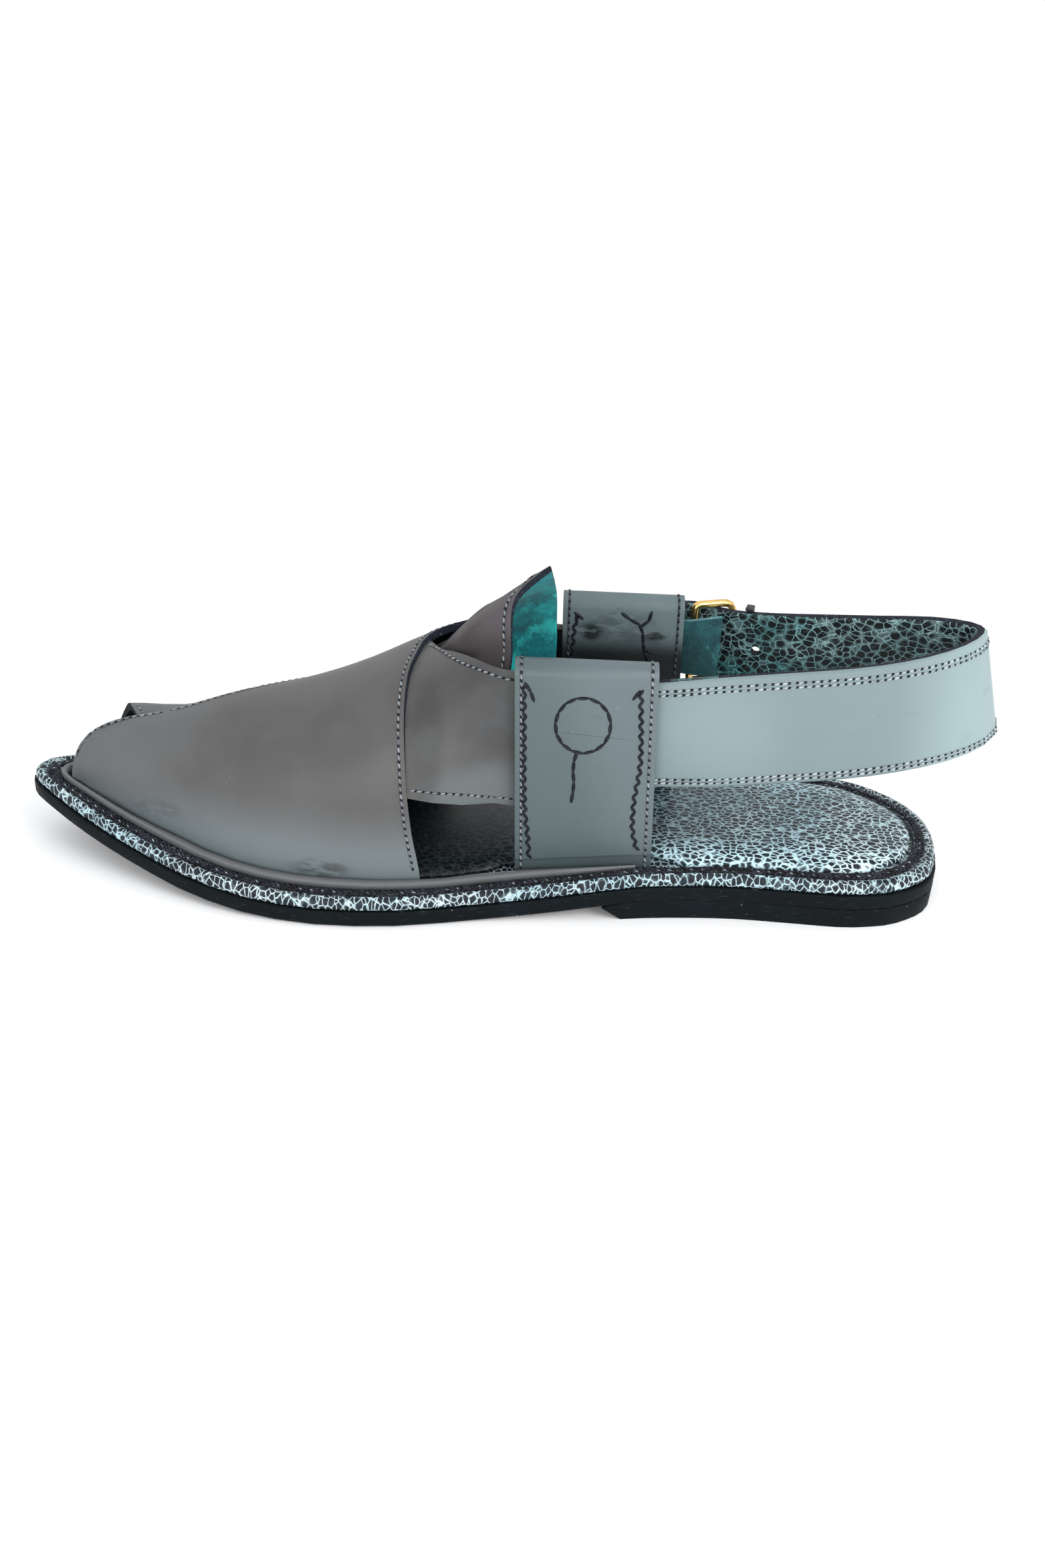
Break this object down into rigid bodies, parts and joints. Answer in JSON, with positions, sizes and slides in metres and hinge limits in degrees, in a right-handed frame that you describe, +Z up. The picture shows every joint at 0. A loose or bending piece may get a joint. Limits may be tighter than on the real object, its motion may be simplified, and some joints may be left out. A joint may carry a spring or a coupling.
{
  "type": "peshawari chappal sandal",
  "caption": "Right peshawari chappal: crossed instep straps, peaked tongue, folded side tabs, buckled heel sling and low stacked heel.",
  "frame": {"origin": "on the floor, under the middle of the shoe's length and width", "axes": "+Z up, toe towards -X, heel towards +X, inner (medial) side towards -Y"},
  "size_m": [0.3113, 0.1012, 0.1025],
  "materials": {
    "black_rubber": "satin black rubber",
    "lift_rubber": "satin black rubber",
    "crackle_rim": "glossy crackle leather, pale mint net over charcoal",
    "crackle_pad": "padded crackle leather, pale mint net over charcoal",
    "rand_leather": "rolled grey leather",
    "strap_leather": "smooth slate grey leather",
    "tongue_leather": "slate grey leather outside, teal suede inside",
    "tab_medial_leather": "smooth greenish grey leather",
    "tab_lateral_leather": "smooth greenish grey leather",
    "sling_leather": "smooth greenish grey leather, crackle lining",
    "shield_suede": "teal suede",
    "brass": "polished brass",
    "brass_prong": "polished brass",
    "keeper_leather": "black leather"
  },
  "bodies": {
    "root": {"outsole": "black_rubber", "heel_lift": "lift_rubber", "footbed": "crackle_rim", "insole": "crackle_pad", "rand": "rand_leather", "upper": "strap_leather", "tongue": "tongue_leather", "tab_medial": "tab_medial_leather", "tab_lateral": "tab_lateral_leather", "heel_sling": "sling_leather", "buckle_shield": "shield_suede", "buckle_frame": "brass", "buckle_prong": "brass_prong", "keeper_loop": "keeper_leather"}
  },
  "joints": []
}
